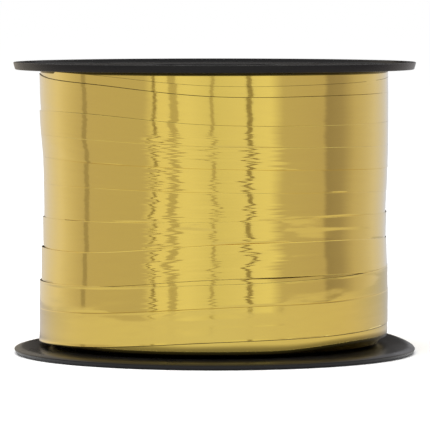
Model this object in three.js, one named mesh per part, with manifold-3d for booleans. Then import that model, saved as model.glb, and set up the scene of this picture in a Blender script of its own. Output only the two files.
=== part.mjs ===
// Reel of metallic gold curling ribbon: a black two-part moulded spool and the ribbon wound on it.
// Millimetres, +Z up. The origin is the centre of the face that the lower flange stands on.

import * as THREE from 'three';
import { mergeVertices } from 'three/addons/utils/BufferGeometryUtils.js';
import Module from 'manifold-3d';

const wasm = await Module();
wasm.setup();

// Spool
const FLANGE_RADIUS = 30;
const SPOOL_HEIGHT = 43.4;
const LOWER_RIM = 1.0; // thickness of the lower flange at its rim
const UPPER_RIM = 1.1; // thickness of the upper flange at its rim
const LOWER_FACE = 1.25; // thickness of the lower flange under the ribbon
const FACE_RADIUS = 26; // where the lower flange starts to fall away towards its rim
const RIM_EASE = 1; // width of the sloping edge on top of the lower rim
const RIM_DROP = 0.3; // how far that edge falls
const LOWER_DRAFT = 0.45; // radius that the lower rim loses towards its outer face
const UPPER_DRAFT = 0.3; // radius that the upper rim loses towards the ribbon
const LIP_WIDTH = 1.6; // raised ring round the outer face of a flange
const LIP_HEIGHT = 0.5;
const BARREL_RADIUS = 13;
const BARREL_WALL = 1.4;
const SPINDLE_RADIUS = 5;
const SPINDLE_WALL = 1.4;
const WEB = 1.2; // disc across the barrel where the halves meet
const RIB_COUNT = 6;
const RIB_WIDTH = 1.0;
const RIB_SETBACK = 1.5; // depth of the rib edges below the outer face
const RIB_ROOT = 0.4; // how far a rib runs into the wall at each of its ends
const FILLET = 0.8; // chamfer that stiffens the corner of flange and barrel
const GAP = 0.3; // clearance between pieces that touch

// Pegs that press into sockets where the halves meet
const PEG_COUNT = 3;
const PEG_RADIUS = 1.5;
const PEG_LENGTH = 5;
const PEG_CIRCLE = 9;
const PEG_CHAMFER = 0.4;
const FIRST_PEG = Math.PI / RIB_COUNT; // the pegs stand midway between ribs
const SOCKET_RADIUS = PEG_RADIUS + 0.1;
const SOCKET_WALL = 0.9;
const SOCKET_DEPTH = PEG_LENGTH + 0.6;

// Ribbon
const RIBBON_WIDTH = 5;
const WINDING_RADIUS = 25.85; // at the ends, next to the flanges
const WAIST = 0.5; // how much the winding is hollowed between its ends
const WAIST_HEIGHT = 21; // where it is thinnest
const EDGE_ROUND = 0.7; // how far the last turns fall away beside the flanges
const START_TAB = 0.4; // thickness of the folded start of the ribbon
const START_LENGTH = 4;
const START_HEIGHT = 11;
const START_ROOT = 0.2; // how far the folded start runs into the winding
const SLOT_WIDTH = START_TAB + 2 * GAP;

const ROUND = 72; // segments of a full turn
const SMALL_ROUND = 20;
const WAIST_STEPS = 10;
const MIDDLE = SPOOL_HEIGHT / 2;
const BORE_RADIUS = BARREL_RADIUS - BARREL_WALL;
const TUBE_RADIUS = SPINDLE_RADIUS + SPINDLE_WALL;

const black = () => new THREE.MeshStandardMaterial({ color: 0x1d1d1e, roughness: 0.3, metalness: 0 });
const gold = () => new THREE.MeshStandardMaterial({ color: 0xd9b24a, roughness: 0.15, metalness: 1 });

function solid(geometry, x = 0, y = 0, z = 0) {
  const bare = geometry.clone().translate(x, y, z);
  bare.deleteAttribute('normal');
  bare.deleteAttribute('uv');
  const merged = mergeVertices(bare, 1e-5);
  const vertProperties = new Float32Array(merged.attributes.position.array);
  const triVerts = new Uint32Array(merged.index.array);
  return new wasm.Manifold(new wasm.Mesh({ numProp: 3, vertProperties, triVerts }));
}

function geometryOf(manifold) {
  const mesh = manifold.getMesh();
  const geometry = new THREE.BufferGeometry();
  geometry.setAttribute('position', new THREE.BufferAttribute(mesh.vertProperties, 3));
  geometry.setIndex(new THREE.BufferAttribute(mesh.triVerts, 1));
  geometry.computeVertexNormals();
  return geometry;
}

// A lathe turned about Z from a closed outline of [radius, height] points.
function turned(outline, segments = ROUND) {
  const points = [...outline, outline[0]].map(([radius, height]) => new THREE.Vector2(radius, height));
  return new THREE.LatheGeometry(points, segments).rotateX(Math.PI / 2);
}

function rod(radius, length) {
  return new THREE.CylinderGeometry(radius, radius, length, SMALL_ROUND).rotateX(Math.PI / 2);
}

function around(count, offset, place) {
  for (let i = 0; i < count; i += 1) {
    place(offset + (i * 2 * Math.PI) / count);
  }
}

// The parts of a half spool that its two mouldings share. Its outer face looks down at height 0,
// and its barrel ends at the height `length`. `rim` is the outline from the foot of the rim to the
// flange's face against the ribbon.
function halfBody(length, rim) {
  const face = rim[rim.length - 1][1];
  let half = solid(turned([
    [BORE_RADIUS, LIP_HEIGHT],
    [FLANGE_RADIUS - LIP_WIDTH, LIP_HEIGHT],
    [FLANGE_RADIUS - LIP_WIDTH, 0],
    ...rim,
    [BARREL_RADIUS + FILLET, face],
    [BARREL_RADIUS, face + FILLET],
    [BARREL_RADIUS, length],
    [SPINDLE_RADIUS, length],
    [SPINDLE_RADIUS, LIP_HEIGHT],
    [TUBE_RADIUS, LIP_HEIGHT],
    [TUBE_RADIUS, length - WEB],
    [BORE_RADIUS, length - WEB],
  ]));
  const ribLength = BORE_RADIUS - TUBE_RADIUS + 2 * RIB_ROOT;
  const ribHeight = length - WEB / 2 - RIB_SETBACK;
  around(RIB_COUNT, 0, (angle) => {
    const rib = new THREE.BoxGeometry(ribLength, RIB_WIDTH, ribHeight);
    rib.translate((BORE_RADIUS + TUBE_RADIUS) / 2, 0, RIB_SETBACK + ribHeight / 2).rotateZ(angle);
    half = half.add(solid(rib));
  });
  return half;
}

function lowerHalf() {
  const length = MIDDLE - GAP / 2;
  let half = halfBody(length, [
    [FLANGE_RADIUS - LOWER_DRAFT, 0],
    [FLANGE_RADIUS, LOWER_RIM - RIM_DROP],
    [FLANGE_RADIUS - RIM_EASE, LOWER_RIM],
    [FACE_RADIUS, LOWER_FACE],
  ]);
  around(PEG_COUNT, FIRST_PEG, (angle) => {
    const x = PEG_CIRCLE * Math.cos(angle);
    const y = PEG_CIRCLE * Math.sin(angle);
    const boss = rod(SOCKET_RADIUS + SOCKET_WALL, SOCKET_DEPTH);
    half = half.add(solid(boss, x, y, length - SOCKET_DEPTH / 2));
    half = half.subtract(solid(rod(SOCKET_RADIUS, SOCKET_DEPTH * 3), x, y, length));
  });
  const slot = new THREE.BoxGeometry(BARREL_WALL * 3, SLOT_WIDTH, RIBBON_WIDTH + 2 * GAP);
  slot.translate(BARREL_RADIUS, 0, START_HEIGHT).rotateZ(-Math.PI / 2);
  return half.subtract(solid(slot));
}

function upperHalf() {
  const length = MIDDLE - GAP / 2;
  let half = halfBody(length, [
    [FLANGE_RADIUS, 0],
    [FLANGE_RADIUS - UPPER_DRAFT, UPPER_RIM],
  ]);
  around(PEG_COUNT, FIRST_PEG, (angle) => {
    const peg = turned([
      [0, length - WEB / 2],
      [PEG_RADIUS, length - WEB / 2],
      [PEG_RADIUS, length + PEG_LENGTH - PEG_CHAMFER],
      [PEG_RADIUS - PEG_CHAMFER, length + PEG_LENGTH],
      [0, length + PEG_LENGTH],
    ], SMALL_ROUND);
    half = half.add(solid(peg, PEG_CIRCLE * Math.cos(angle), -PEG_CIRCLE * Math.sin(angle)));
  });
  return half;
}

// The wound ribbon as one ring, waisted between the flanges, with its start folded into the barrel.
function winding() {
  const low = LOWER_FACE + GAP;
  const high = SPOOL_HEIGHT - UPPER_RIM - GAP;
  const inner = BARREL_RADIUS + GAP;
  const outline = [[inner, low + FILLET], [inner + FILLET, low], [WINDING_RADIUS - EDGE_ROUND, low]];
  for (let i = 0; i <= WAIST_STEPS; i += 1) {
    const height = low + EDGE_ROUND + ((high - low - 2 * EDGE_ROUND) * i) / WAIST_STEPS;
    const reach = (height - WAIST_HEIGHT) / WAIST_HEIGHT;
    outline.push([WINDING_RADIUS - WAIST * (1 - reach * reach), height]);
  }
  outline.push([WINDING_RADIUS - EDGE_ROUND, high], [inner + FILLET, high], [inner, high - FILLET]);
  const tab = new THREE.BoxGeometry(START_LENGTH, START_TAB, RIBBON_WIDTH);
  tab.translate(inner + START_ROOT - START_LENGTH / 2, 0, START_HEIGHT).rotateZ(-Math.PI / 2);
  return solid(turned(outline)).add(solid(tab));
}

function piece(name, shape, material) {
  const mesh = new THREE.Mesh(geometryOf(shape), material);
  mesh.name = name;
  return mesh;
}

const group = new THREE.Group();

const lower = piece('lower_half_spool', lowerHalf(), black());
group.add(lower);

const upper = piece('upper_half_spool', upperHalf(), black());
upper.rotation.x = Math.PI;
upper.position.z = SPOOL_HEIGHT;
group.add(upper);

group.add(piece('ribbon_winding', winding(), gold()));

export default group;
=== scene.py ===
"""Spool of metallic gold curling ribbon, standing on its lower flange on a pale studio floor.

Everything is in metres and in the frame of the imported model: +Z up along the spool's axis, the
origin in the middle of the face that the spool stands on, and -Y towards the viewer.
"""

import math

import bmesh
import bpy
from mathutils import Matrix, Vector, noise


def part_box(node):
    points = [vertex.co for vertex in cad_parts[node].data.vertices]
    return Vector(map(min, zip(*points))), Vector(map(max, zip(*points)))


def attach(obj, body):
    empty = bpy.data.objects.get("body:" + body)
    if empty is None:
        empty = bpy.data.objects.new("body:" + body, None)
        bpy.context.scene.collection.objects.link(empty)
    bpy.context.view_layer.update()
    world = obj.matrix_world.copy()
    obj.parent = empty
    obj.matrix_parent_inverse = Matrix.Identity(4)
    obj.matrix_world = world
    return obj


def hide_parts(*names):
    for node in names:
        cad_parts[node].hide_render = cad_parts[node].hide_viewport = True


bl_info = {
    "name": "Curling Ribbon Spool",
    "version": (1, 0, 0),
    "blender": (4, 5, 0),
    "location": "3D View > Sidebar > Ribbon Spool",
    "description": "Builds a two-part moulded spool wound with metallic curling ribbon",
    "category": "Add Mesh",
}

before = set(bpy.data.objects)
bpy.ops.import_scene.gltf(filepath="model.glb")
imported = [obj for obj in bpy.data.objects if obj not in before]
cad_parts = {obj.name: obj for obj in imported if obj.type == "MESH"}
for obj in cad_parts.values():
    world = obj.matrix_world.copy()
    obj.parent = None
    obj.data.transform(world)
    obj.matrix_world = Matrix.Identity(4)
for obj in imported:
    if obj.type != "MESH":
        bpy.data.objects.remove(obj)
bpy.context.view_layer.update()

MM = 0.001
TURN = 2 * math.pi

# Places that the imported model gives.
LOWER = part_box("lower_half_spool")
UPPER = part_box("upper_half_spool")
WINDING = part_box("ribbon_winding")
FLANGE_RADIUS = LOWER[1].x
SPOOL_HEIGHT = UPPER[1].z
HALF_LENGTH = LOWER[1].z

# The last layer of ribbon, turn by turn from the last one, at the bottom, to the first. Each row
# has the heights of a turn's upper edge at 90 and 45 degrees to the left of the front, at the
# front, and at 45 and 90 degrees to the right, in millimetres.
SEAMS = (
    (6.9, 7.35, 8.6, 9.1, 9.8),
    (10.95, 11.25, 11.9, 12.55, 13.4),
    (15.95, 16.1, 17.6, 17.9, 17.4),
    (20.4, 20.6, 20.9, 21.3, 21.2),
    (25.35, 25.5, 25.1, 24.8, 24.4),
    (29.4, 29.1, 28.5, 28.1, 27.9),
    (32.7, 32.5, 31.7, 31.4, 31.2),
    (36.2, 36.2, 34.8, 34.6, 34.8),
    (41.0, 40.6, 38.9, 38.9, 39.1),
    (42.15, 41.9, 40.4, 40.6, 41.3),
)
# Radius of each of those turns at its upper edge and just above the next one's: on the left, and
# then on the right, in millimetres.
RADII = (
    (26.15, 26.16, 25.83, 25.85),
    (26.11, 26.14, 25.79, 25.86),
    (25.80, 25.88, 25.60, 25.76),
    (25.60, 25.51, 25.62, 25.49),
    (25.48, 25.41, 25.60, 25.50),
    (25.55, 25.47, 25.74, 25.63),
    (25.89, 25.58, 25.84, 25.82),
    (26.05, 25.90, 25.85, 25.82),
    (26.10, 25.91, 25.84, 25.85),
    (25.94, 25.96, 25.82, 25.84),
)
TAIL = 0.5  # turns before the first front pass at which the ribbon ends, at the back
HEAD = 10.55  # turns at which the last layer comes up from the layer below

# Edges of older turns that show through the film as ridges: from and to, in degrees right of the
# front and millimetres up, and how high they stand, in millimetres.
RIDGES = (
    (-92, 16.9, -30, 18.1, 0.010),
    (-36, 17.9, -2, 21.2, 0.012),
    (-92, 22.2, 48, 21.6, 0.012),
    (-4, 5.7, 92, 6.4, 0.008),
    (-15, 9.8, -1, 11.9, 0.009),
    (10, 13.1, 29, 15.7, 0.010),
    (-70, 30.9, -30, 30.6, 0.006),
    (-60, 38.4, 15, 36.9, 0.010),
)


# --- Settings ---------------------------------------------------------------------------------


class SpoolSettings(bpy.types.PropertyGroup):
    """Sizes and colours of the two moulded halves."""

    rim_lower: bpy.props.FloatProperty(
        name="Lower rim", description="Thickness of the lower flange", default=1.0 * MM,
        unit="LENGTH", precision=5)
    rim_upper: bpy.props.FloatProperty(
        name="Upper rim", description="Thickness of the upper flange", default=1.1 * MM,
        unit="LENGTH", precision=5)
    barrel_radius: bpy.props.FloatProperty(
        name="Barrel radius", description="Outside of the barrel", default=13.0 * MM,
        unit="LENGTH", precision=5)
    wall: bpy.props.FloatProperty(
        name="Wall", description="Thickness of the barrel and the spindle tube",
        default=1.4 * MM, unit="LENGTH", precision=5)
    spindle_radius: bpy.props.FloatProperty(
        name="Spindle hole", description="Radius of the hole for the spindle",
        default=5.0 * MM, unit="LENGTH", precision=5)
    lip_width: bpy.props.FloatProperty(
        name="Lip width", description="Width of the raised ring round a flange's face",
        default=1.6 * MM, unit="LENGTH", precision=5)
    lip_height: bpy.props.FloatProperty(
        name="Lip height", description="Depth of a flange's face inside its ring",
        default=0.5 * MM, unit="LENGTH", precision=5)
    ribs: bpy.props.IntProperty(
        name="Ribs", description="Ribs between the barrel and the spindle tube", default=6)
    colour: bpy.props.StringProperty(
        name="Plastic", description="Colour of the polystyrene, as sRGB hex", default="#101011")


class RibbonSettings(bpy.types.PropertyGroup):
    """Sizes and colours of the ribbon."""

    width: bpy.props.FloatProperty(
        name="Width", description="Width of the ribbon", default=5.0 * MM, unit="LENGTH",
        precision=5)
    thickness: bpy.props.FloatProperty(
        name="Thickness", description="Thickness of the film", default=0.075 * MM,
        unit="LENGTH", precision=6)
    lap: bpy.props.FloatProperty(
        name="Lap", description="Room that a turn leaves for the film over it",
        default=0.085 * MM, unit="LENGTH", precision=6)
    colour: bpy.props.StringProperty(
        name="Film", description="Colour of the metallised film, as sRGB hex",
        default="#E4CB5C")


class StageSettings(bpy.types.PropertyGroup):
    """The floor, the light and the camera."""

    camera_distance: bpy.props.FloatProperty(
        name="Camera distance", description="From the spool's axis to the camera",
        default=0.6083, unit="LENGTH")
    camera_height: bpy.props.FloatProperty(
        name="Camera height", description="Height of the camera above the floor",
        default=0.0543, unit="LENGTH")
    camera_tilt: bpy.props.FloatProperty(
        name="Camera tilt", description="How far the camera looks down",
        default=math.radians(3.176), subtype="ANGLE")
    lens: bpy.props.FloatProperty(
        name="Lens", description="Focal length for a 36 mm frame", default=341.7)
    floor_colour: bpy.props.StringProperty(
        name="Floor", description="Colour of the floor, as sRGB hex", default="#FFFFFF")


# --- Helpers ----------------------------------------------------------------------------------


def linear(hex_colour):
    """An sRGB hex colour as linear red, green, blue and alpha."""
    channels = [int(hex_colour[i:i + 2], 16) / 255 for i in (1, 3, 5)]
    return [c / 12.92 if c <= 0.04045 else ((c + 0.055) / 1.055) ** 2.4 for c in channels] + [1.0]


def add(tree, kind, sockets=None, **settings):
    """Adds a node with its settings, and gives its sockets their values or links."""
    made = tree.nodes.new(kind)
    for name, value in settings.items():
        setattr(made, name, value)
    for name, value in (sockets or {}).items():
        if isinstance(value, bpy.types.NodeSocket):
            tree.links.new(value, made.inputs[name])
        else:
            made.inputs[name].default_value = value
    return made


def new_material(name):
    """An empty node material and its tree."""
    material = bpy.data.materials.new(name)
    material.use_nodes = True
    material.node_tree.nodes.clear()
    return material, material.node_tree


def new_object(name, shape, material, sharp=35.0):
    """A smooth-shaded object made from a bmesh, which is freed."""
    mesh = bpy.data.meshes.new(name)
    shape.to_mesh(mesh)
    shape.free()
    made = bpy.data.objects.new(name, mesh)
    bpy.context.scene.collection.objects.link(made)
    finish_shading(made, material, sharp)
    return made


def finish_shading(made, material, sharp):
    """Smooth faces, with edges kept sharp past an angle in degrees."""
    made.data.materials.clear()
    made.data.materials.append(material)
    for face in made.data.polygons:
        face.use_smooth = True
    made.data.set_sharp_from_angle(angle=math.radians(sharp))


def mend_normals(shape):
    """Merges doubled vertices and turns every face outwards."""
    bmesh.ops.remove_doubles(shape, verts=shape.verts[:], dist=1e-7)
    bmesh.ops.recalc_face_normals(shape, faces=shape.faces[:])


def turned(outline, steps):
    """Spins a closed outline of (radius, height, rounding) corners, in millimetres, about Z."""
    shape = bmesh.new()
    corners = [shape.verts.new((r * MM, 0, z * MM)) for r, z, _ in outline]
    shape.faces.new(corners)
    for size in sorted({rounding for _, _, rounding in outline if rounding > 0}):
        picked = [v for v, corner in zip(corners, outline) if corner[2] == size]
        bmesh.ops.bevel(shape, geom=picked, offset=size * MM, offset_type="OFFSET", segments=3,
                        profile=0.5, affect="VERTICES", material=-1)
    bmesh.ops.delete(shape, geom=shape.faces[:], context="FACES_ONLY")
    bmesh.ops.spin(shape, geom=shape.verts[:] + shape.edges[:], cent=(0, 0, 0), axis=(0, 0, 1),
                   dvec=(0, 0, 0), angle=TURN, space=Matrix(), steps=steps, use_merge=True,
                   use_normal_flip=False, use_duplicate=False)
    mend_normals(shape)
    return shape


def blocks(places, size, rounding):
    """Rounded boxes of one size, each at a matrix of its own, as one bmesh."""
    shape = bmesh.new()
    for place in places:
        made = bmesh.ops.create_cube(shape, size=1.0, matrix=place @ Matrix.Diagonal((*size, 1)))
        edges = {e for v in made["verts"] for e in v.link_edges}
        bmesh.ops.bevel(shape, geom=list(edges), offset=rounding, offset_type="OFFSET",
                        segments=2, profile=0.5, affect="EDGES", material=-1)
    mend_normals(shape)
    return shape


def rods(places, radius, length, chamfer):
    """Chamfered rods along Z, each centred on a place, as one bmesh."""
    shape = bmesh.new()
    for place in places:
        made = bmesh.ops.create_cone(
            shape, cap_ends=True, cap_tris=False, segments=40, radius1=radius, radius2=radius,
            depth=length, matrix=Matrix.Translation(place))
        rims = {e for v in made["verts"] for e in v.link_edges
                if abs(e.verts[0].co.z - e.verts[1].co.z) < 1e-9}
        bmesh.ops.bevel(shape, geom=list(rims), offset=chamfer, offset_type="OFFSET",
                        segments=2, profile=0.5, affect="EDGES", material=-1)
    mend_normals(shape)
    return shape


def combine(target, shape, operation):
    """Joins a bmesh to an object, or cuts it away, and keeps the result as the object's mesh."""
    tool = new_object("tool", shape, target.data.materials[0])
    change = target.modifiers.new("change", "BOOLEAN")
    change.object = tool
    change.operation = operation
    change.solver = "EXACT"
    bpy.context.view_layer.update()
    changed = target.evaluated_get(bpy.context.evaluated_depsgraph_get())
    result = bpy.data.meshes.new_from_object(changed)
    target.modifiers.clear()
    target.data = result
    bpy.data.objects.remove(tool)


def on_circle(count, offset, radius, height):
    """Points spaced evenly round the axis."""
    angles = [offset + i * TURN / count for i in range(count)]
    return [Vector((radius * math.cos(a), radius * math.sin(a), height)) for a in angles]


def azimuth_of(place):
    """Angle of a place from the front, positive to the right."""
    return math.atan2(place.x, -place.y)


def ease(value):
    """0 below 0, 1 above 1, and a smooth rise between."""
    t = min(max(value, 0.0), 1.0)
    return t * t * (3 - 2 * t)


def curve_through(values, position):
    """A smooth curve through evenly spaced values, read at a position counted in spacings."""
    last = len(values) - 1
    low = min(max(math.floor(position), 0), last - 1)
    t = position - low
    before, a, b, after = (values[min(max(low + i, 0), last)] for i in (-1, 0, 1, 2))
    if low == 0:
        before = 2 * a - b
    if low == last - 1:
        after = 2 * b - a
    rise = (b - before) / 2
    fall = (after - a) / 2
    return (a + rise * t + (3 * (b - a) - 2 * rise - fall) * t ** 2
            + (2 * (a - b) + rise + fall) * t ** 3)


# --- Materials --------------------------------------------------------------------------------


def black_polystyrene(colour):
    """Injection-moulded high-gloss polystyrene: an even black, a soft sheen where the steel of
    the mould was polished, faint flow marks, and fine scuffs from other spools in the box."""
    material, tree = new_material("Black moulded polystyrene")
    place = add(tree, "ShaderNodeTexCoord").outputs["Object"]
    flow = add(tree, "ShaderNodeTexNoise", {
        "Vector": place, "Scale": 1 / (9 * MM), "Detail": 3.0, "Roughness": 0.55})
    peel = add(tree, "ShaderNodeTexNoise", {
        "Vector": place, "Scale": 1 / (0.45 * MM), "Detail": 2.0, "Roughness": 0.5})
    around = add(tree, "ShaderNodeMapping", {
        "Vector": place, "Scale": (1 / (6 * MM), 1 / (6 * MM), 1 / (0.12 * MM))})
    scuffs = add(tree, "ShaderNodeTexNoise", {
        "Vector": around.outputs["Vector"], "Scale": 1.0, "Detail": 4.0, "Roughness": 0.65})
    sheen = add(tree, "ShaderNodeMapRange", {
        "Value": flow.outputs["Fac"], "From Min": 0.3, "From Max": 0.7, "To Min": 0.24,
        "To Max": 0.36})
    worn = add(tree, "ShaderNodeMapRange", {
        "Value": scuffs.outputs["Fac"], "From Min": 0.58, "From Max": 0.75, "To Min": 0.0,
        "To Max": 0.14})
    rough = add(tree, "ShaderNodeMath", {
        0: sheen.outputs["Result"], 1: worn.outputs["Result"]}, operation="ADD")
    tone = add(tree, "ShaderNodeMix", {
        "Factor": flow.outputs["Fac"], "A": linear(colour), "B": linear("#161515")},
        data_type="RGBA")
    tone_out = mix_colour(tone)
    bump = add(tree, "ShaderNodeBump", {
        "Height": peel.outputs["Fac"], "Strength": 0.35, "Distance": 0.012 * MM})
    shader = add(tree, "ShaderNodeBsdfPrincipled", {
        "Base Color": tone_out, "Roughness": rough.outputs["Value"], "IOR": 1.59,
        "Specular IOR Level": 0.14, "Normal": bump.outputs["Normal"]})
    add(tree, "ShaderNodeOutputMaterial", {"Surface": shader.outputs["BSDF"]})
    return material


def mix_colour(node):
    """The colour output of a Mix node that mixes colours."""
    return next(s for s in node.outputs if s.type == "RGBA" and s.enabled)


def gold_film(colour):
    """Polypropylene film, aluminised and lacquered gold: a mirror under a clear yellow coat.
    The film is drawn along its length, which leaves streaks that turn a reflection aside by up to
    a few degrees, and they are strongest where it was wound over an edge. Its map is in metres
    along and across the ribbon."""
    material, tree = new_material("Metallised gold film")
    flat = add(tree, "ShaderNodeUVMap", uv_map="Film").outputs["UV"]
    pucker_share = add(tree, "ShaderNodeAttribute", attribute_name="Pucker").outputs["Fac"]
    aside_map = add(tree, "ShaderNodeMapping", {
        "Vector": flat, "Scale": (1 / (14.0 * MM), 1 / (0.35 * MM), 1.0)})
    aside = add(tree, "ShaderNodeTexNoise", {
        "Vector": aside_map.outputs["Vector"], "Scale": 1.0, "Detail": 2.0, "Roughness": 0.5})
    tilt_map = add(tree, "ShaderNodeMapping", {
        "Vector": flat, "Scale": (1 / (5.0 * MM), 1 / (0.8 * MM), 1.0),
        "Location": (5.3, 2.9, 0.0)})
    tilt = add(tree, "ShaderNodeTexNoise", {
        "Vector": tilt_map.outputs["Vector"], "Scale": 1.0, "Detail": 2.0, "Roughness": 0.55})
    aside_size = add(tree, "ShaderNodeMath", {0: pucker_share, 1: 0.2}, operation="MULTIPLY")
    tilt_size = add(tree, "ShaderNodeMath", {
        0: pucker_share, 1: 0.035, 2: 0.006}, operation="MULTIPLY_ADD")
    slopes = []
    for field, size in ((aside, aside_size), (tilt, tilt_size)):
        centred = add(tree, "ShaderNodeMath", {0: field.outputs["Fac"], 1: 0.5},
                      operation="SUBTRACT")
        slopes.append(add(tree, "ShaderNodeMath", {
            0: centred.outputs["Value"], 1: size.outputs["Value"], 2: 0.5},
            operation="MULTIPLY_ADD").outputs["Value"])
    normal_colour = add(tree, "ShaderNodeCombineColor", {
        "Red": slopes[0], "Green": slopes[1], "Blue": 1.0})
    normal = add(tree, "ShaderNodeNormalMap", {
        "Color": normal_colour.outputs["Color"], "Strength": 1.0}, space="TANGENT",
        uv_map="Film")
    tint = add(tree, "ShaderNodeMix", {
        "Factor": tilt.outputs["Fac"], "A": linear(colour), "B": linear("#E0C65C")},
        data_type="RGBA")
    rough = add(tree, "ShaderNodeMapRange", {
        "Value": tilt.outputs["Fac"], "From Min": 0.3, "From Max": 0.75, "To Min": 0.07,
        "To Max": 0.11})
    shader = add(tree, "ShaderNodeBsdfPrincipled", {
        "Base Color": mix_colour(tint), "Metallic": 1.0, "Roughness": rough.outputs["Result"],
        "Coat Weight": 1.0, "Coat Roughness": 0.04, "Coat IOR": 1.49,
        "Normal": normal.outputs["Normal"], "Coat Normal": normal.outputs["Normal"]})
    add(tree, "ShaderNodeOutputMaterial", {"Surface": shader.outputs["BSDF"]})
    return material


def wound_edges(colour):
    """The same film seen on its edges, layer on layer: dull gold with fine rings."""
    material, tree = new_material("Gold film wound edge on")
    place = add(tree, "ShaderNodeTexCoord").outputs["Object"]
    rings = add(tree, "ShaderNodeMapping", {
        "Vector": place, "Scale": (1 / (3 * MM), 1 / (3 * MM), 1 / (0.2 * MM))})
    layers = add(tree, "ShaderNodeTexNoise", {
        "Vector": rings.outputs["Vector"], "Scale": 1.0, "Detail": 3.0})
    rough = add(tree, "ShaderNodeMapRange", {
        "Value": layers.outputs["Fac"], "To Min": 0.1, "To Max": 0.3})
    bump = add(tree, "ShaderNodeBump", {
        "Height": layers.outputs["Fac"], "Strength": 1.0, "Distance": 0.03 * MM})
    shader = add(tree, "ShaderNodeBsdfPrincipled", {
        "Base Color": linear(colour), "Metallic": 1.0, "Roughness": rough.outputs["Result"],
        "Normal": bump.outputs["Normal"]})
    add(tree, "ShaderNodeOutputMaterial", {"Surface": shader.outputs["BSDF"]})
    return material


def matt_paper(colour):
    """Seamless background paper: matt, with a trace of fibre."""
    material, tree = new_material("Seamless paper")
    place = add(tree, "ShaderNodeTexCoord").outputs["Object"]
    fibre = add(tree, "ShaderNodeTexNoise", {"Vector": place, "Scale": 1 / (2 * MM)})
    bump = add(tree, "ShaderNodeBump", {
        "Height": fibre.outputs["Fac"], "Strength": 0.2, "Distance": 0.02 * MM})
    shader = add(tree, "ShaderNodeBsdfPrincipled", {
        "Base Color": linear(colour), "Roughness": 0.95, "Specular IOR Level": 0.0,
        "Normal": bump.outputs["Normal"]})
    add(tree, "ShaderNodeOutputMaterial", {"Surface": shader.outputs["BSDF"]})
    return material


def lit_board(name, colour):
    """A board or card that is evenly lit."""
    material, tree = new_material(name)
    glow = add(tree, "ShaderNodeEmission", {"Color": linear(colour), "Strength": 1.0})
    add(tree, "ShaderNodeOutputMaterial", {"Surface": glow.outputs["Emission"]})
    return material


# --- Spool ------------------------------------------------------------------------------------


def half_spool(name, settings, rim_line):
    """A half spool with its outer face down at height 0, without its pegs or sockets. The line is
    the outline of its rim and of its face against the ribbon."""
    length = HALF_LENGTH / MM
    edge = FLANGE_RADIUS / MM
    flat = [(r, settings.lip_height / MM, 0) for r in (20.0, 22.0, 24.0, 26.0)]
    top = rim_line[-1][1]
    lip = settings.lip_width / MM
    face = settings.lip_height / MM
    barrel = settings.barrel_radius / MM
    wall = settings.wall / MM
    hole = settings.spindle_radius / MM
    web = 1.2
    draft = 0.15
    outline = (
        (barrel - wall, face, 0.1),
        *flat,
        (edge - lip - 0.1, face, 0.15),
        (edge - lip, 0, 0.1),
        *rim_line,
        (barrel + 0.8, top, 0.4),
        (barrel, top + 0.8, 0.4),
        (barrel, length, 0.1),
        (hole, length, 0.1),
        (hole, face, 0.1),
        (hole + wall, face, 0.06),
        (hole + wall + draft, length - web, 0.3),
        (barrel - wall - draft, length - web, 0.3),
    )
    material = black_polystyrene(settings.colour)
    half = new_object(name, turned(outline, 192), material)
    inner, outer = hole + wall - 0.4, barrel - wall + 0.4
    setback = 1.5
    height = length - web / 2 - setback
    middle = Vector(((inner + outer) / 2 * MM, 0, (setback + height / 2) * MM))
    places = [Matrix.Rotation(i * TURN / settings.ribs, 4, "Z") @ Matrix.Translation(middle)
              for i in range(settings.ribs)]
    size = ((outer - inner) * MM, 1.0 * MM, height * MM)
    combine(half, blocks(places, size, 0.15 * MM), "UNION")
    pin_marks = on_circle(4, TURN / 8, (edge - lip - 4.5) * MM, face * MM)
    combine(half, rods(pin_marks, 1.6 * MM, 0.12 * MM, 0.02 * MM), "DIFFERENCE")
    return half


def warp(place):
    """How far the lower flange is lifted, in millimetres: up behind on the right, and a trace on
    the left, where the moulding has cooled out of true."""
    reach = max(place.xy.length / MM - 22, 0) / 8
    angle = math.degrees(azimuth_of(place)) % 360
    right = 1.4 * ease((angle - 84) / 55) * ease((225 - angle) / 60)
    left = 0.2 * math.exp(-((angle - 240) / 28) ** 2)
    return (right + left) * reach ** 1.5


def spool_piece(half, node):
    """Gives a finished half its shading, and stands it for its CAD node."""
    finish_shading(half, half.data.materials[0], 30.0)
    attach(half, "root")
    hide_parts(node)


class RIBBONSPOOL_OT_lower_half(bpy.types.Operator):
    """Add the lower half spool, with the sockets and the slot for the start of the ribbon"""

    bl_idname = "ribbon_spool.lower_half"
    bl_label = "Lower Half Spool"

    def execute(self, context):
        settings = context.scene.ribbon_spool
        edge, rim = FLANGE_RADIUS / MM, settings.rim_lower / MM
        slope = [(24.0, rim + 0.25, 0), (22.0, rim + 0.25, 0)]
        half = half_spool("lower_half_spool_moulding", settings, (
            (edge - 0.45, 0, 0.15), (edge, rim - 0.3, 0.2), (edge - 1.0, rim, 0.4),
            (26.0, rim + 0.25, 0.6), *slope))
        depth = 5.6 * MM
        sockets = on_circle(3, TURN / 12, 9 * MM, HALF_LENGTH - depth / 2)
        combine(half, rods(sockets, 2.5 * MM, depth - 0.1 * MM, 0.15 * MM), "UNION")
        combine(half, rods(sockets, 1.6 * MM, depth * 1.5, 0.1 * MM), "DIFFERENCE")
        slot = Matrix.Translation((0, -settings.barrel_radius, 11 * MM))
        combine(half, blocks([slot], (1.0 * MM, 4.2 * MM, 5.6 * MM), 0.1 * MM), "DIFFERENCE")
        for vert in half.data.vertices:
            vert.co.z += warp(vert.co) * MM
        spool_piece(half, "lower_half_spool")
        return {"FINISHED"}


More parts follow.
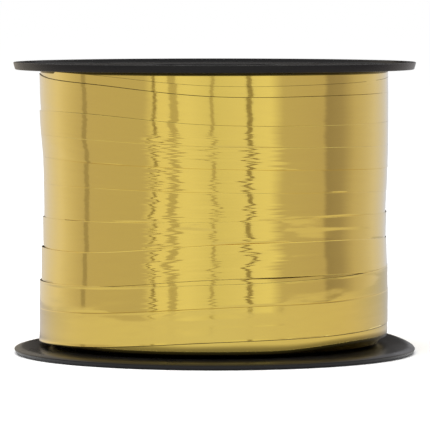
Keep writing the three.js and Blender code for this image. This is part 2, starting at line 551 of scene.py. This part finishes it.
class RIBBONSPOOL_OT_upper_half(bpy.types.Operator):
    """Add the upper half spool, with the pegs that plug into the lower half"""

    bl_idname = "ribbon_spool.upper_half"
    bl_label = "Upper Half Spool"

    def execute(self, context):
        settings = context.scene.ribbon_spool
        edge, rim = FLANGE_RADIUS / MM, settings.rim_upper / MM
        half = half_spool("upper_half_spool_moulding", settings, (
            (edge, 0, 0.15), (edge - 0.3, rim, 0.15)))
        pegs = on_circle(3, -TURN / 12, 9 * MM, HALF_LENGTH + 2.2 * MM)
        combine(half, rods(pegs, 1.5 * MM, 5.6 * MM, 0.3 * MM), "UNION")
        half.data.transform(Matrix.Translation((0, 0, SPOOL_HEIGHT))
                            @ Matrix.Rotation(math.pi, 4, "X"))
        spool_piece(half, "upper_half_spool")
        return {"FINISHED"}


# --- Ribbon -----------------------------------------------------------------------------------


def with_back(rows):
    """Heights at every eighth of a turn: the rows, and even steps round the back between them."""
    heights = [6.5, 6.7]
    for row, following in zip(rows, rows[1:]):
        step = (following[0] - row[-1]) / 4
        heights += [*row, row[-1] + step, row[-1] + 2 * step, row[-1] + 3 * step]
    return [*heights, *rows[-1], 41.9, 42.2, 42.2]


EDGES = with_back(SEAMS)
UPPER_RADII = [radius for row in RADII for radius in (row[0], row[2])]
LOWER_RADII = [radius for row in RADII for radius in (row[1], row[3])]


def edge_height(turns):
    """Height of the upper edge of the last layer, at a count of turns up from its end."""
    return curve_through(EDGES, (turns - TAIL) * 8)


def film_radius(turns, down, seen):
    """Radius of a turn's open face at a distance down from its edge."""
    upper = curve_through(UPPER_RADII, (turns - 0.75) * 2)
    lower = curve_through(LOWER_RADII, (turns - 0.75) * 2)
    return upper + (lower - upper) * min(down / seen, 1.3)


def open_face(turns, width):
    """How much of a turn the next one leaves open."""
    below = turns - 1
    if below < TAIL:
        return width
    return width + (edge_height(turns) - edge_height(below) - width) * ease((below - TAIL) / 0.02)


def ridges(angle, height):
    """How far the edges of older turns lift the film, at degrees right of the front."""
    lift = 0.0
    for start, low, end, high, size in RIDGES:
        share = (angle - start) / (end - start)
        fade = ease(share * 6) * ease((1 - share) * 6)
        off = (height - low - (high - low) * share) / 0.2
        lift += size * fade * math.exp(-off * off)
    return lift


def last_layer_point(settings, turns, down):
    """Where the film's outer face is, at a count of turns and a distance down from its edge."""
    width = settings.width / MM
    lap = settings.lap / MM
    down /= MM
    edge = edge_height(turns)
    seen = open_face(turns, width)
    radius = film_radius(turns, down, seen)
    angle = (turns - round(turns)) * 360
    if turns < HEAD - 1:
        overlap = width - (edge_height(turns + 1) - edge)
        radius += 0.012 * (0.5 - ease((down - overlap) / 0.5))
    tucked = film_radius(turns - 1, max(down - seen, 0.0), open_face(turns - 1, width)) - lap
    if seen < width:
        share = ease((down - seen + 0.02) / 0.06)
        radius += (min(radius, tucked) - radius) * share
    # The film lies a little uneven, in slow waves that differ from turn to turn.
    along = turns * TURN * radius
    open_share = 1 - ease((down - seen + 0.3) / 0.3)
    slow = noise.noise(Vector((along / 9, down / 5, 1.7)))
    quick = noise.noise(Vector((along / 3.5, down / 1.1, 8.2)))
    radius += (0.07 * slow + 0.008 * quick) * open_share
    radius += ridges(angle, edge - down) * open_share
    # Its cut edge turns out slightly.
    radius += 0.006 * (1 - ease(down / 0.4))
    # The first turn stands off on the left, and leans out under the upper flange.
    slack = math.exp(-((turns - 8.74) / 0.055) ** 2)
    edge += slack * 0.75 * (1 - down / width)
    # The last turn's lower edge turns out on the left, where nothing holds it.
    loose = math.exp(-((turns - 0.72) / 0.12) ** 2)
    radius += loose * 0.12 * ease((down - width + 0.7) / 0.7) ** 2
    # The ribbon comes up from the layer below, and its end springs up a little.
    radius -= 0.25 * ease((turns - HEAD + 0.2) / 0.2)
    radius += 0.35 * (1 - ease((turns - TAIL) / 0.03)) ** 2
    around = TURN * (turns - 0.25)
    return Vector((radius * math.cos(around), radius * math.sin(around), edge - down)) * MM


def outline_radius(sine, height):
    """Radius of the winding as a whole: thinnest half-way up, and fuller on the left."""
    return 25.38 + 0.55 * min(abs(height - 21.5) / 17.5, 1.0) ** 1.7 - 0.12 * sine


def layer_below_point(settings, turns, down):
    """The same for the layer below, which was wound the other way along the spool."""
    width = settings.width / MM
    down /= MM
    pitch = 3.75
    around = -TURN * (turns + 0.55)
    sine = math.cos(around)
    low = 1.85 + 0.9 * ease((sine - 0.3) / 0.6) + 0.3 * ease((-sine - 0.5) / 0.5)
    rise = pitch * max(turns, 0.0)
    edge = min(low + width + rise, WINDING[1].z / MM + 0.26)
    height = edge - down
    radius = outline_radius(sine, height) - 0.09 + 0.1 * ease((sine - 0.5) / 0.5)
    if turns > 1:
        radius -= 0.09 * ease((down - pitch + 0.3) / 0.3)
    along = turns * TURN * radius
    radius += 0.03 * noise.noise(Vector((along / 9, down / 3, 5.1)))
    if turns < 1:
        # Its lower edge turns in at the front, and out at the left.
        flare = ease((-sine - 0.72) / 0.2)
        radius += (0.19 * flare - 0.12) * max((down - width + 0.85) / 0.85, 0.0)
    return Vector((radius * math.cos(around), radius * math.sin(around), height)) * MM


def pucker(place):
    """How strongly the film is drawn into fine streaks, from 0 to 1, at a point on the winding."""
    angle = math.degrees(azimuth_of(place))
    height = place.z / MM
    front = ease((angle + 34) / 12) * ease((37 - angle) / 8)
    band = ease((height - 11) / 2.5) * ease((35 - height) / 3)
    patch = noise.noise(Vector((angle / 22, height / 1.5, 3.3)))
    lower = ease((height - 3) / 2) * ease((11.5 - height) / 2) * front
    worn = front * band * ease(0.55 + 1.1 * patch) + 0.45 * lower * ease(0.5 + patch)
    around = 0.3 * ease(1.4 * patch - 0.1) * ease((abs(angle) - 88) / 20)
    return 0.06 + 0.94 * min(worn + around, 1.0)


def row_place(share, seen, width):
    """How far down a row lies: most rows share the open face, and a few the seam below it."""
    seam = min(seen, width - 0.4)
    if share < 0.8:
        return (seam - 0.05) * share / 0.8
    if share < 0.92:
        return seam - 0.05 + 0.12 * (share - 0.8) / 0.12
    return seam + 0.07 + (width - seam - 0.07) * (share - 0.92) / 0.08


def wound_film(name, settings, first, last, steps, rows, place):
    """Winds a flat strip of film, from one count of turns to another, and gives it thickness."""
    shape = bmesh.new()
    film_map = shape.loops.layers.uv.new("Film")
    drawn = shape.verts.layers.float.new("Pucker")
    count = round((last - first) * steps)
    bmesh.ops.create_grid(shape, x_segments=count, y_segments=rows, size=0.5, calc_uvs=True)
    length = (last - first) * TURN * outline_radius(0, 0) * MM
    for face in shape.faces:
        for loop in face.loops:
            along = (loop.vert.co.x + 0.5) * length
            loop[film_map].uv = (along, (loop.vert.co.y + 0.5) * settings.width)
    for vert in shape.verts:
        turns = first + (last - first) * (vert.co.x + 0.5)
        down = 0.5 - vert.co.y
        if place is last_layer_point:
            width = settings.width / MM
            down = row_place(down, open_face(turns, width), width) / width
        down *= settings.width
        # The end is cut at a slant.
        turns += 0.006 * down / settings.width * (1 - ease((turns - first) * 8))
        vert.co = place(settings, turns, down)
        vert[drawn] = pucker(vert.co)
    bmesh.ops.recalc_face_normals(shape, faces=shape.faces[:])
    out = shape.faces[0]
    if out.normal.dot(Vector((out.verts[0].co.x, out.verts[0].co.y, 0))) < 0:
        bmesh.ops.reverse_faces(shape, faces=shape.faces[:])
    film = new_object(name, shape, gold_film(settings.colour), 50.0)
    thick = film.modifiers.new("Film thickness", "SOLIDIFY")
    thick.thickness = settings.thickness
    thick.offset = -1.0
    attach(film, "root")
    return film


class RIBBONSPOOL_OT_winding_core(bpy.types.Operator):
    """Add the body of the winding, under the layers that show"""

    bl_idname = "ribbon_spool.winding_core"
    bl_label = "Winding"

    def execute(self, context):
        settings = context.scene.ribbon_film
        low, high = max(WINDING[0].z / MM, 1.6), WINDING[1].z / MM
        inner = context.scene.ribbon_spool.barrel_radius / MM + 0.3
        sunk = 0.62
        heights = [low + 1.2 + i * (high - low - 2.4) / 8 for i in range(9)]
        side = [(outline_radius(0, h) - sunk, h, 0) for h in heights]
        outline = [
            (inner, low + 0.8, 0), (inner + 0.8, low, 0), (24.2, low, 0.2), *side,
            (24.2, high, 0.2), (inner + 0.8, high, 0), (inner, high - 0.8, 0)]
        core = new_object("ribbon_winding_core", turned(outline, 128),
                          wound_edges(settings.colour))
        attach(core, "root")
        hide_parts("ribbon_winding")
        return {"FINISHED"}


class RIBBONSPOOL_OT_layer_below(bpy.types.Operator):
    """Add the layer of turns that shows past the ends of the last one"""

    bl_idname = "ribbon_spool.layer_below"
    bl_label = "Layer Below"

    def execute(self, context):
        settings = context.scene.ribbon_film
        wound_film("ribbon_layer_below", settings, -1.0, 10.0, 120, 10, layer_below_point)
        return {"FINISHED"}


class RIBBONSPOOL_OT_last_layer(bpy.types.Operator):
    """Add the last layer of turns, each lapping over the one above it, and the ribbon's end"""

    bl_idname = "ribbon_spool.last_layer"
    bl_label = "Last Layer"

    def execute(self, context):
        settings = context.scene.ribbon_film
        wound_film("ribbon_last_layer", settings, TAIL, HEAD, 120, 36, last_layer_point)
        return {"FINISHED"}


# --- Stage ------------------------------------------------------------------------------------

# The wall of the light tent: degrees to the right of the front, and colour. Two pale panels stand
# at the front, and grey cloth hangs at the sides.
WALL = (
    (-160, "#D0C6B6"), (-115, "#E6DCCE"), (-90, "#C8BEBC"), (-42, "#C6BEBE"), (-36, "#ECE6DC"),
    (-15, "#EEEAE2"), (0, "#E0DCD2"), (20, "#EAE6DE"), (33, "#F0ECE2"), (41, "#C8C0C0"),
    (69, "#C2B8BA"), (72, "#9E949C"), (84, "#A89EA4"), (96, "#C8BEBC"), (120, "#DAD2CE"),
    (160, "#C8C8CC"),
)
# The table inside the tent, in the same way: even, and a little darker at the sides.
TABLE = ((-140, "#C0B8B2"), (-90, "#DED6D0"), (0, "#DEDADA"), (90, "#D8CEC8"), (140, "#BAB6B2"))
WALL_STRENGTH = 1.12
WALL_RADIUS = 0.12
WALL_TOP = 0.10
WALL_END = math.radians(161)  # where the wall ends, to either side of the front
LOW_SIDE = 41.0  # degrees to the right of the front from which the wall starts higher up
LOW_LIFT = 5.5 * MM
PAINTED_SHADOW_DEPTH = 0.7  # depth of the painted shadow of the lower flange in the table's glow
PAINTED_SHADOW_WIDTH = 24 * MM
JOINT_RADIUS = 0.118
BACK_RADIUS = 0.6
TABLE_REACH = (0.0315, 0.034, 0.037, 0.041, 0.046, 0.052, 0.06, 0.12, 0.62)

# The dark joints between the tent's panels, and cards that stand far behind, by their places:
# name, degrees to the right of the front from and to, radius, height from and to, and colour.
CARDS = (
    ("joint far left", -88.0, -84.0, JOINT_RADIUS, 0.001, WALL_TOP, "#B0A6A4"),
    ("joint outer left", -37.0, -35.0, JOINT_RADIUS, 0.001, WALL_TOP, "#A0968E"),
    ("joint inner left", -27.0, -22.0, JOINT_RADIUS, 0.001, WALL_TOP, "#CCC4BC"),
    ("joint middle", -2.0, 0.0, JOINT_RADIUS, 0.001, WALL_TOP, "#C0B8B0"),
    ("joint right", 19.0, 22.0, JOINT_RADIUS, 0.001, WALL_TOP, "#A0968E"),
    ("back left", -173.9, -150.0, BACK_RADIUS, 0.0, 0.042, "#CFC7BC"),
    ("back right", 150.0, 173.9, BACK_RADIUS, 0.0, 0.042, "#CFC7BC"),
    ("back gap", 173.9, 186.1, BACK_RADIUS, 0.0, 0.042, "#38332F"),
    ("back top", 145.0, 215.0, BACK_RADIUS, 0.042, 0.35, "#4A4642"),
)


def graded_board(name, stops):
    """A board of the light tent, graded round the spool along its map and darkened across it by
    a painted shade in its glow. The stops are degrees to the right of the front, and colours."""
    material, tree = new_material(name)
    place = add(tree, "ShaderNodeSeparateXYZ", {
        0: add(tree, "ShaderNodeUVMap", uv_map="Grading").outputs["UV"]})
    ramp = add(tree, "ShaderNodeValToRGB", {"Fac": place.outputs["X"]})
    elements = ramp.color_ramp.elements
    elements.remove(elements[1])
    for i, (degrees, colour) in enumerate(stops):
        position = degrees / 360 + 0.5
        stop = elements.new(position) if i else elements[0]
        stop.position = position
        stop.color = linear(colour)
    level = add(tree, "ShaderNodeMath", {0: place.outputs["Y"], 1: WALL_STRENGTH},
                operation="MULTIPLY")
    glow = add(tree, "ShaderNodeEmission", {
        "Color": ramp.outputs["Color"], "Strength": level.outputs["Value"]})
    add(tree, "ShaderNodeOutputMaterial", {"Surface": glow.outputs["Emission"]})
    return material


def grade(shape, rule):
    """Gives a shape a map from a rule on each corner's azimuth and its place."""
    layer = shape.loops.layers.uv.new("Grading")
    for face in shape.faces:
        side = face.calc_center_median().x
        for loop in face.loops:
            place = loop.vert.co
            azimuth = math.copysign(math.atan2(abs(place.x), -place.y), side)
            loop[layer].uv = rule(azimuth, place)


class RIBBONSPOOL_OT_stage(bpy.types.Operator):
    """Add the floor, the light tent, the lights and the camera"""

    bl_idname = "ribbon_spool.stage"
    bl_label = "Studio"

    def execute(self, context):
        settings = context.scene.ribbon_stage
        shape = bmesh.new()
        bmesh.ops.create_circle(shape, cap_ends=True, cap_tris=False, segments=96, radius=12.0)
        floor = new_object("floor", shape, matt_paper(settings.floor_colour))
        self.wall()
        self.table()
        for card in CARDS:
            self.card(*card)
        self.lights(context.scene)
        self.camera(context.scene, settings)
        return {"FINISHED"}

    def reflected_only(self, name, shape, material):
        """Makes an object that only reflections see."""
        made = new_object(name, shape, material)
        made.visible_camera = False
        made.visible_diffuse = False
        made.visible_transmission = False
        made.visible_shadow = False

    def wall(self):
        """The near wall of the tent, graded round the spool, open behind it."""
        shape = bmesh.new()
        first = (-WALL_RADIUS * math.sin(WALL_END), -WALL_RADIUS * math.cos(WALL_END))
        line = [shape.verts.new((*first, 0.3 * MM)), shape.verts.new((*first, WALL_TOP))]
        shape.edges.new(line)
        bmesh.ops.spin(shape, geom=shape.verts[:] + shape.edges[:], cent=(0, 0, 0),
                       axis=(0, 0, 1), dvec=(0, 0, 0), angle=2 * WALL_END, space=Matrix(),
                       steps=240, use_merge=False, use_normal_flip=False, use_duplicate=False)
        right = math.radians(LOW_SIDE)
        for vert in shape.verts:
            if vert.co.z < MM:
                angle = azimuth_of(vert.co)
                vert.co.z += LOW_LIFT * ease((angle - right) / math.radians(4))
        grade(shape, lambda azimuth, place: (azimuth / TURN + 0.5, 1.0))
        self.reflected_only("tent wall", shape, graded_board("Tent wall", WALL))

    def table(self):
        """The table inside the tent and behind it, with a painted shadow of the lower flange:
        its glow is darker beside the flange.
        """
        shape = bmesh.new()
        back = -math.pi
        line = [shape.verts.new((reach * math.sin(back), -reach * math.cos(back), 0.15 * MM))
                for reach in TABLE_REACH]
        for inner, outer in zip(line, line[1:]):
            shape.edges.new((inner, outer))
        bmesh.ops.spin(shape, geom=shape.verts[:] + shape.edges[:], cent=(0, 0, 0),
                       axis=(0, 0, 1), dvec=(0, 0, 0), angle=TURN, space=Matrix(), steps=144,
                       use_merge=False, use_normal_flip=False, use_duplicate=False)

        def rule(azimuth, place):
            # Painted shadow: the table's glow dims towards the lower flange.
            lit = ease((place.xy.length - TABLE_REACH[0]) / PAINTED_SHADOW_WIDTH)
            return azimuth / TURN + 0.5, 1 - PAINTED_SHADOW_DEPTH * (1 - lit)

        grade(shape, rule)
        self.reflected_only("tent table", shape, graded_board("Tent table", TABLE))

    def card(self, name, start, end, radius, low, high, colour):
        """An upright card, bent round the spool."""
        start, end = math.radians(start), math.radians(end)
        shape = bmesh.new()
        ends = [shape.verts.new((radius * math.sin(start), -radius * math.cos(start), z))
                for z in (low, high)]
        shape.edges.new(ends)
        bmesh.ops.spin(shape, geom=shape.verts[:] + shape.edges[:], cent=(0, 0, 0),
                       axis=(0, 0, 1), dvec=(0, 0, 0), angle=end - start, space=Matrix(),
                       steps=24, use_merge=False, use_normal_flip=False, use_duplicate=False)
        self.reflected_only("card " + name, shape, lit_board("Card " + name, colour))

    def lights(self, scene):
        """An even white surround, and a soft light above that grounds the spool."""
        world = bpy.data.worlds.new("Surround")
        world.use_nodes = True
        world.node_tree.nodes.clear()
        sky = add(world.node_tree, "ShaderNodeBackground", {
            "Color": (1.0, 1.0, 1.0, 1.0), "Strength": 1.0})
        add(world.node_tree, "ShaderNodeOutputWorld", {"Surface": sky.outputs["Background"]})
        scene.world = world
        above = bpy.data.lights.new("Overhead softbox", "AREA")
        above.shape = "SQUARE"
        above.size = 0.6
        above.energy = 4.0
        lamp = bpy.data.objects.new("Overhead softbox", above)
        lamp.location = (-0.1, -0.25, 0.7)
        aim = Vector((0, 0, 0.02)) - lamp.location
        lamp.rotation_euler = aim.to_track_quat("-Z", "Y").to_euler()
        # The film would show it as a bright line in each seam.
        lamp.visible_glossy = False
        scene.collection.objects.link(lamp)

    def camera(self, scene, settings):
        """The viewer's camera, a long lens from a little above the upper flange."""
        data = bpy.data.cameras.new("Camera")
        data.lens = settings.lens
        data.sensor_width = 36.0
        data.clip_start = 0.01
        data.clip_end = 60.0
        camera = bpy.data.objects.new("Camera", data)
        camera.location = (0.05 * MM, -settings.camera_distance, settings.camera_height)
        camera.rotation_euler = (math.pi / 2 - settings.camera_tilt, 0, 0)
        scene.collection.objects.link(camera)
        scene.camera = camera
        scene.view_settings.view_transform = "Standard"


# --- Panel and registration -------------------------------------------------------------------


class RIBBONSPOOL_PT_panel(bpy.types.Panel):
    """Lists the steps that build the spool"""

    bl_idname = "RIBBONSPOOL_PT_panel"
    bl_label = "Ribbon Spool"
    bl_space_type = "VIEW_3D"
    bl_region_type = "UI"
    bl_category = "Ribbon Spool"

    def draw(self, context):
        for group in ("ribbon_spool", "ribbon_film", "ribbon_stage"):
            settings = getattr(context.scene, group)
            box = self.layout.box()
            for name in settings.__annotations__:
                box.prop(settings, name)
        for operator in OPERATORS:
            self.layout.operator(operator.bl_idname)


OPERATORS = (
    RIBBONSPOOL_OT_lower_half,
    RIBBONSPOOL_OT_upper_half,
    RIBBONSPOOL_OT_winding_core,
    RIBBONSPOOL_OT_layer_below,
    RIBBONSPOOL_OT_last_layer,
    RIBBONSPOOL_OT_stage,
)
CLASSES = (SpoolSettings, RibbonSettings, StageSettings, *OPERATORS, RIBBONSPOOL_PT_panel)


def register():
    for made in CLASSES:
        bpy.utils.register_class(made)
    bpy.types.Scene.ribbon_spool = bpy.props.PointerProperty(type=SpoolSettings)
    bpy.types.Scene.ribbon_film = bpy.props.PointerProperty(type=RibbonSettings)
    bpy.types.Scene.ribbon_stage = bpy.props.PointerProperty(type=StageSettings)


def unregister():
    del bpy.types.Scene.ribbon_spool
    del bpy.types.Scene.ribbon_film
    del bpy.types.Scene.ribbon_stage
    for made in reversed(CLASSES):
        bpy.utils.unregister_class(made)


def main():
    register()
    bpy.ops.ribbon_spool.lower_half()
    bpy.ops.ribbon_spool.upper_half()
    bpy.ops.ribbon_spool.winding_core()
    bpy.ops.ribbon_spool.layer_below()
    bpy.ops.ribbon_spool.last_layer()
    bpy.ops.ribbon_spool.stage()


if __name__ == "__main__":
    main()
